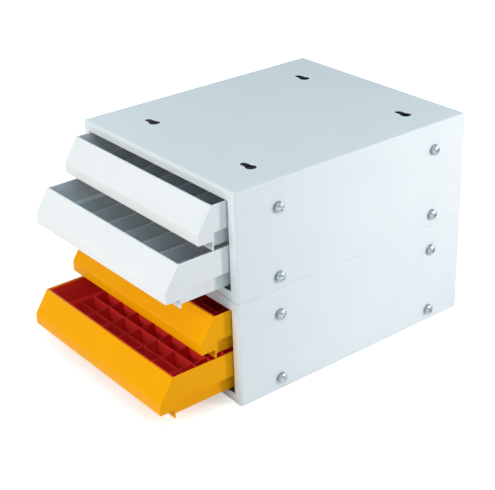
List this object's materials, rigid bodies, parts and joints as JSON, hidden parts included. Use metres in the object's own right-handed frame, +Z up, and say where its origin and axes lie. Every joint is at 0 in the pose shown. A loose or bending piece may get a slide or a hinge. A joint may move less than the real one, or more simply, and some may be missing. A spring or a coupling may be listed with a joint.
{
  "type": "paraffin block storage cabinet",
  "caption": "Stackable white steel bench cabinet for paraffin tissue blocks, with slant-front plastic drawers on runners, divided trays in them and a keyholed top for stacking.",
  "frame": {"origin": "centre of the cabinet's flat underside, on the surface that it stands on", "axes": "+Z up, -Y out of the drawer fronts, +X to the right seen from the front"},
  "size_m": [0.3044, 0.4477, 0.26],
  "materials": {
    "powder_coat": "white powder coat, satin",
    "zinc_steel": "bright zinc plate",
    "galvanised_steel": "galvanised sheet",
    "rail_plastic": "moulded acetal",
    "white_plastic": "moulded ABS, satin",
    "yellow_plastic": "moulded ABS, satin",
    "red_plastic": "moulded ABS, matt"
  },
  "bodies": {
    "cabinet": {"lower_housing_wrap": "powder_coat", "lower_floor_pan": "powder_coat", "lower_back_panel": "powder_coat", "lower_back_screws": "zinc_steel", "lower_left_runner_panel": "galvanised_steel", "lower_right_runner_panel": "galvanised_steel", "lower_left_bottom_rail": "rail_plastic", "lower_left_top_rail": "rail_plastic", "lower_right_bottom_rail": "rail_plastic", "lower_right_top_rail": "rail_plastic", "lower_side_screws": "zinc_steel", "lower_side_nuts": "zinc_steel", "upper_housing_wrap": "powder_coat", "upper_floor_pan": "powder_coat", "upper_back_panel": "powder_coat", "upper_back_screws": "zinc_steel", "upper_left_runner_panel": "galvanised_steel", "upper_right_runner_panel": "galvanised_steel", "upper_left_bottom_rail": "rail_plastic", "upper_left_top_rail": "rail_plastic", "upper_right_bottom_rail": "rail_plastic", "upper_right_top_rail": "rail_plastic", "upper_side_screws": "zinc_steel", "upper_side_nuts": "zinc_steel", "stacking_studs": "zinc_steel", "stacking_nuts": "zinc_steel"},
    "yellow_bottom_drawer": {"yellow_bottom_drawer": "yellow_plastic", "yellow_bottom_tray": "red_plastic", "yellow_bottom_lane_dividers": "red_plastic", "yellow_bottom_cross_dividers": "red_plastic"},
    "yellow_top_drawer": {"yellow_top_drawer": "yellow_plastic", "yellow_top_tray": "red_plastic", "yellow_top_lane_dividers": "red_plastic", "yellow_top_cross_dividers": "red_plastic"},
    "white_bottom_drawer": {"white_bottom_drawer": "white_plastic", "white_bottom_tray": "white_plastic", "white_bottom_lane_dividers": "white_plastic"},
    "white_top_drawer": {"white_top_drawer": "white_plastic", "white_top_tray": "white_plastic", "white_top_lane_dividers": "white_plastic"}
  },
  "joints": [
    {"name": "yellow_bottom_slide", "type": "slide", "parent": "cabinet", "child": "yellow_bottom_drawer", "axis": [0, -1, 0], "range_m": [-0.0839, 0.141]},
    {"name": "yellow_top_slide", "type": "slide", "parent": "cabinet", "child": "yellow_top_drawer", "axis": [0, -1, 0], "range_m": [-0.0259, 0.199]},
    {"name": "white_bottom_slide", "type": "slide", "parent": "cabinet", "child": "white_bottom_drawer", "axis": [0, -1, 0], "range_m": [-0.0679, 0.157]},
    {"name": "white_top_slide", "type": "slide", "parent": "cabinet", "child": "white_top_drawer", "axis": [0, -1, 0], "range_m": [-0.0229, 0.202]}
  ]
}
